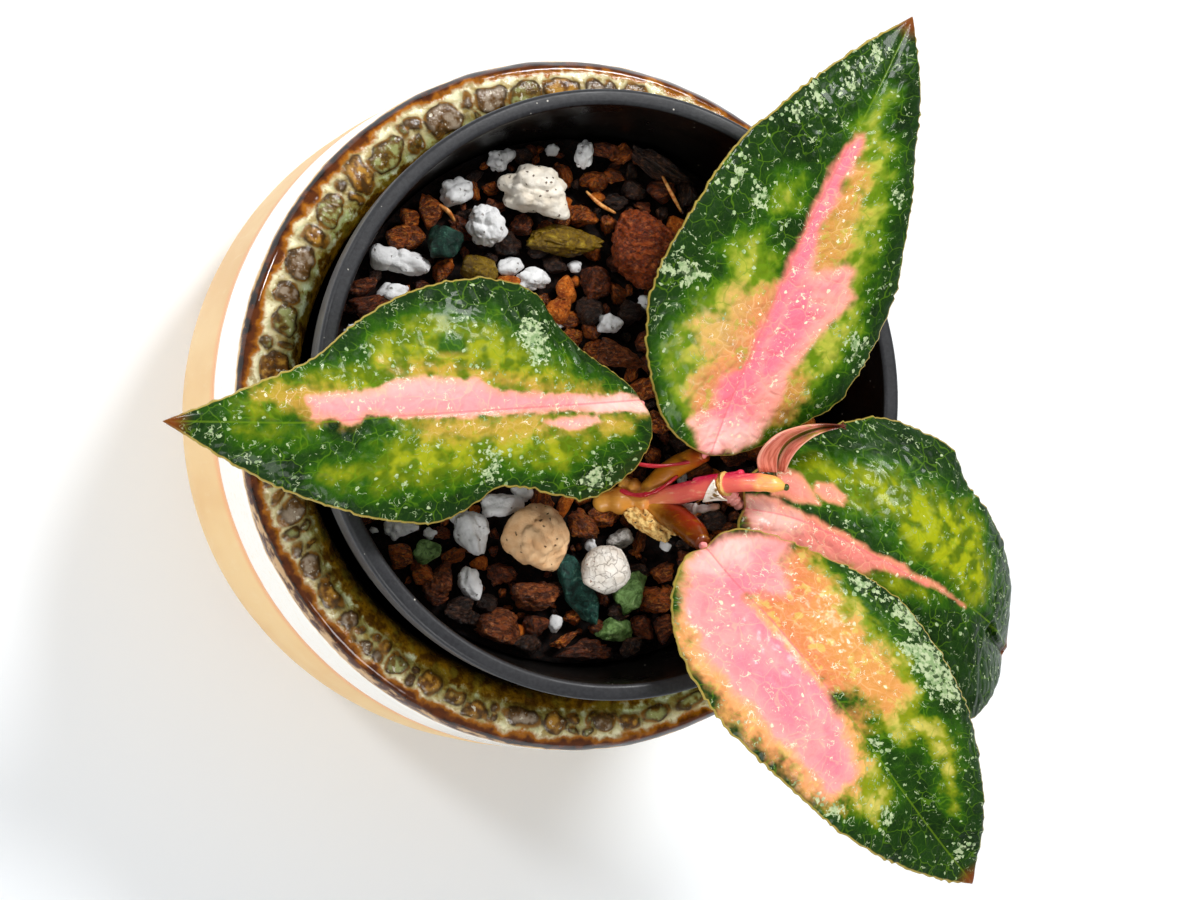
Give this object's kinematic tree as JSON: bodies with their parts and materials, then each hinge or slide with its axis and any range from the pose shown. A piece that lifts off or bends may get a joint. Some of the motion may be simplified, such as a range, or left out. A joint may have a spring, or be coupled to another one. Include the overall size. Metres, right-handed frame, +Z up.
{
  "type": "potted hoya",
  "caption": "Small potted hoya: broad pointed leaves on a short creeping stem in bark and perlite mix, in a black growing pot inside a round glazed stoneware cover pot.",
  "frame": {"origin": "middle of the cover pot's flat foot, on the surface it stands on", "axes": "+Z up along the cover pot's axis; +X right and +Y away as the plant is seen from above in the picture; the longest leaf to the left points along -X"},
  "size_m": [0.1496, 0.1435, 0.1109],
  "materials": {
    "stoneware": "tan stoneware with a cream glaze band and a glossy brown and celadon mottled rim",
    "black_plastic": "semi-matte moulded black plastic",
    "potting_mix": "damp dark bark chips, clay granules and fines",
    "perlite": "white porous expanded mineral, matte",
    "clay": "rough rust-red baked clay, matte",
    "pumice": "beige knobbly mineral with small pits, matte",
    "olive": "ridged olive-yellow stone, satin",
    "teal": "dark blue-green stone, satin",
    "green": "pale moss-green stone, satin",
    "grey": "pale grey stone, satin",
    "bark": "red-brown bark chunk, rough",
    "stem": "fleshy stem, pink to orange-brown, waxy",
    "bract": "dry papery scale",
    "leaf": "thick glossy leaf, dark green with lime, peach and pink zones, silver flecks and pale net veins",
    "young_leaf": "furled pink and olive young leaf, glossy"
  },
  "bodies": {
    "root": {"ceramic_pot": "stoneware", "nursery_pot": "black_plastic", "potting_mix": "potting_mix", "stem": "stem", "sheath": "bract", "leaf_left": "leaf", "leaf_top": "leaf", "leaf_lower": "leaf", "leaf_right": "leaf", "leaf_young": "young_leaf", "perlite_1": "perlite", "perlite_2": "perlite", "perlite_3": "perlite", "perlite_4": "perlite", "perlite_5": "perlite", "perlite_6": "perlite", "perlite_7": "perlite", "perlite_8": "perlite", "perlite_9": "perlite", "perlite_10": "perlite", "perlite_11": "perlite", "perlite_12": "perlite", "white_ball": "perlite", "beige_ball": "pumice", "clay_ball": "clay", "olive_pebble": "olive", "olive_stone": "olive", "teal_stone_1": "teal", "teal_stone_2": "teal", "green_stone_1": "green", "green_stone_2": "green", "green_stone_3": "green", "grey_stone": "grey", "bark_1": "bark", "bark_2": "bark", "bark_3": "bark", "bark_4": "bark"}
  },
  "joints": []
}
